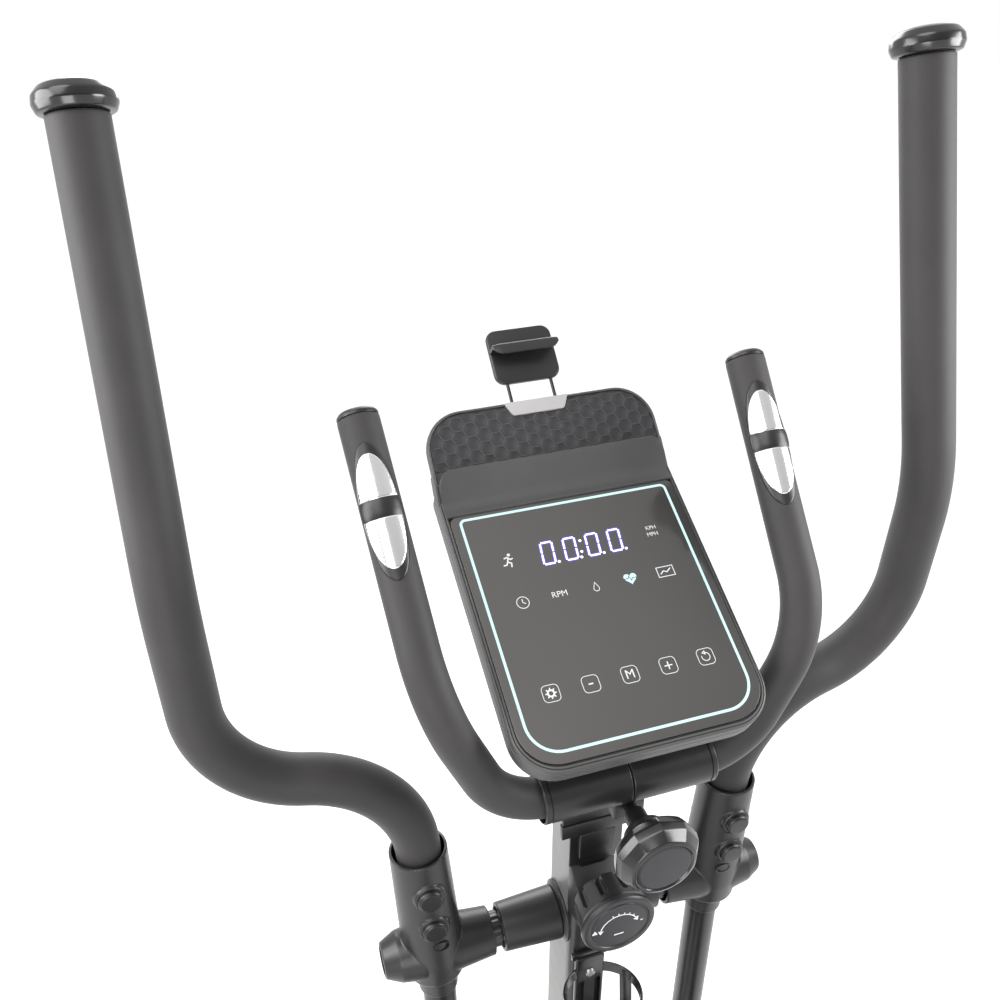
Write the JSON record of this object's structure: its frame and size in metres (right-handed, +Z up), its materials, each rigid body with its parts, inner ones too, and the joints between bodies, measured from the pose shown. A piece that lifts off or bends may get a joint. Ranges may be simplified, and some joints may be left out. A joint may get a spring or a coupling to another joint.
{
  "type": "elliptical trainer",
  "caption": "Front-pivot elliptical trainer with swing handles, touch console, pulse bar, sliding phone clamp, magnetic flywheel drive and bottle cage.",
  "frame": {"origin": "centre of the footprint on the floor", "axes": "+Z up, +Y forward, away from the user, +X to the user's right"},
  "size_m": [0.6022, 1.116, 1.63],
  "materials": {
    "foam_grip": "closed-cell foam, matt, fine pores",
    "matte_plastic": "moulded ABS, fine grain",
    "gloss_plastic": "moulded, polished black",
    "housing_plastic": "moulded shell, fine grain",
    "black_paint": "satin black powder coat",
    "mast_paint": "silver grey powder coat",
    "steel": "machined steel",
    "chrome": "polished stainless contact plates on a dark leaf-shaped base",
    "smoked_panel": "smoked acrylic touch panel",
    "grey_plastic": "light grey moulding",
    "rubber": "moulded rubber",
    "iron": "cast and machined"
  },
  "bodies": {
    "root": {"main_beam": "black_paint", "front_stabilizer": "black_paint", "rear_stabilizer": "black_paint", "front_foot_left": "rubber", "front_foot_right": "rubber", "rear_foot_left": "rubber", "rear_foot_right": "rubber", "mast": "mast_paint", "mast_boot": "matte_plastic", "swing_axle": "steel", "axle_sleeve_left": "matte_plastic", "axle_sleeve_right": "matte_plastic", "housing_left": "housing_plastic", "housing_right": "housing_plastic", "drive_bracket": "black_paint", "drive_belt": "rubber", "handlebar_clamp": "black_paint", "clamp_cover_left": "matte_plastic", "clamp_cover_right": "matte_plastic", "tension_mount": "matte_plastic", "bottle_cage": "gloss_plastic", "console_back_shell": "matte_plastic", "console_front_frame": "matte_plastic", "console_glass": "smoked_panel", "tablet_pad": "rubber", "dock_insert": "grey_plastic"},
    "arm_left": {"swing_arm_left": "black_paint", "handle_tube_left": "black_paint", "handle_foam_left": "foam_grip", "handle_cap_left": "gloss_plastic", "joint_cover_left": "matte_plastic"},
    "beam_left": {"pedal_beam_left": "black_paint", "pedal_left": "matte_plastic", "crank_pin_left": "steel"},
    "wheel_left": {"transport_wheel_left": "rubber"},
    "arm_right": {"swing_arm_right": "black_paint", "handle_tube_right": "black_paint", "handle_foam_right": "foam_grip", "handle_cap_right": "gloss_plastic", "joint_cover_right": "matte_plastic"},
    "beam_right": {"pedal_beam_right": "black_paint", "pedal_right": "matte_plastic", "crank_pin_right": "steel"},
    "wheel_right": {"transport_wheel_right": "rubber"},
    "crankset": {"crank_left": "iron", "crank_right": "iron", "drive_pulley": "matte_plastic"},
    "flywheel_body": {"flywheel": "iron"},
    "brake": {"brake_magnet": "steel"},
    "tension_dial": {"tension_knob": "matte_plastic"},
    "clamp_screw": {"clamp_knob": "gloss_plastic"},
    "pulse_bar": {"pulse_bar_tube": "black_paint", "pulse_foam_left": "foam_grip", "pulse_foam_right": "foam_grip", "pulse_sensor_left": "chrome", "pulse_sensor_right": "chrome", "pulse_plug_left": "matte_plastic", "pulse_plug_right": "matte_plastic"},
    "phone_holder": {"phone_clamp": "matte_plastic", "clamp_rods": "steel"}
  },
  "joints": [
    {"name": "left_arm_swing", "type": "hinge", "parent": "root", "child": "arm_left", "pos_m": [-0.1276, 0.32, 0.95], "axis": [1, 0, 0], "range_deg": [-11.65, 16.35]},
    {"name": "right_arm_swing", "type": "hinge", "parent": "root", "child": "arm_right", "pos_m": [0.1276, 0.32, 0.95], "axis": [1, 0, 0], "range_deg": [-16.35, 11.65]},
    {"name": "left_beam_tilt", "type": "hinge", "parent": "arm_left", "child": "beam_left", "pos_m": [-0.1252, 0.36207, 0.28132], "axis": [1, 0, 0], "range_deg": [-16.35, 11.65]},
    {"name": "right_beam_tilt", "type": "hinge", "parent": "arm_right", "child": "beam_right", "pos_m": [0.1252, 0.41672, 0.28702], "axis": [1, 0, 0], "range_deg": [-11.65, 16.35]},
    {"name": "crank_spin", "type": "hinge", "parent": "root", "child": "crankset", "pos_m": [0, -0.33, 0.2845], "axis": [1, 0, 0], "continuous": true},
    {"name": "flywheel_spin", "type": "hinge", "parent": "root", "child": "flywheel_body", "pos_m": [0, -0.15, 0.25], "axis": [1, 0, 0], "continuous": true},
    {"name": "tension_knob_turn", "type": "hinge", "parent": "root", "child": "tension_dial", "pos_m": [0, 0.23976, 1.01799], "axis": [0, -0.9903, -0.1392], "range_deg": [0, 300]},
    {"name": "brake_lift", "type": "hinge", "parent": "root", "child": "brake", "pos_m": [0, -0.13756, 0.36835], "axis": [1, 0, 0], "range_deg": [0, 6]},
    {"name": "clamp_knob_turn", "type": "hinge", "parent": "root", "child": "clamp_screw", "pos_m": [0, 0.17214, 1.13987], "axis": [0, -0.9903, -0.1392], "continuous": true},
    {"name": "pulse_bar_tilt", "type": "hinge", "parent": "root", "child": "pulse_bar", "pos_m": [0, 0.217, 1.164], "axis": [1, 0, 0], "range_deg": [-8, 8]},
    {"name": "phone_clamp_slide", "type": "slide", "parent": "root", "child": "phone_holder", "axis": [0, 0.6162, 0.7876], "range_m": [-0.015, 0.059]},
    {"name": "left_wheel_spin", "type": "hinge", "parent": "root", "child": "wheel_left", "pos_m": [-0.215, 0.533, 0.034], "axis": [1, 0, 0], "continuous": true},
    {"name": "right_wheel_spin", "type": "hinge", "parent": "root", "child": "wheel_right", "pos_m": [0.215, 0.533, 0.034], "axis": [1, 0, 0], "continuous": true}
  ],
  "couplings": [
    {"joint": "right_arm_swing", "follows": "left_arm_swing", "ratio": -1},
    {"joint": "left_beam_tilt", "follows": "left_arm_swing", "ratio": -1},
    {"joint": "right_beam_tilt", "follows": "left_arm_swing", "ratio": 1},
    {"joint": "flywheel_spin", "follows": "crank_spin", "ratio": 5.2083},
    {"joint": "brake_lift", "follows": "tension_knob_turn", "ratio": 0.02}
  ]
}
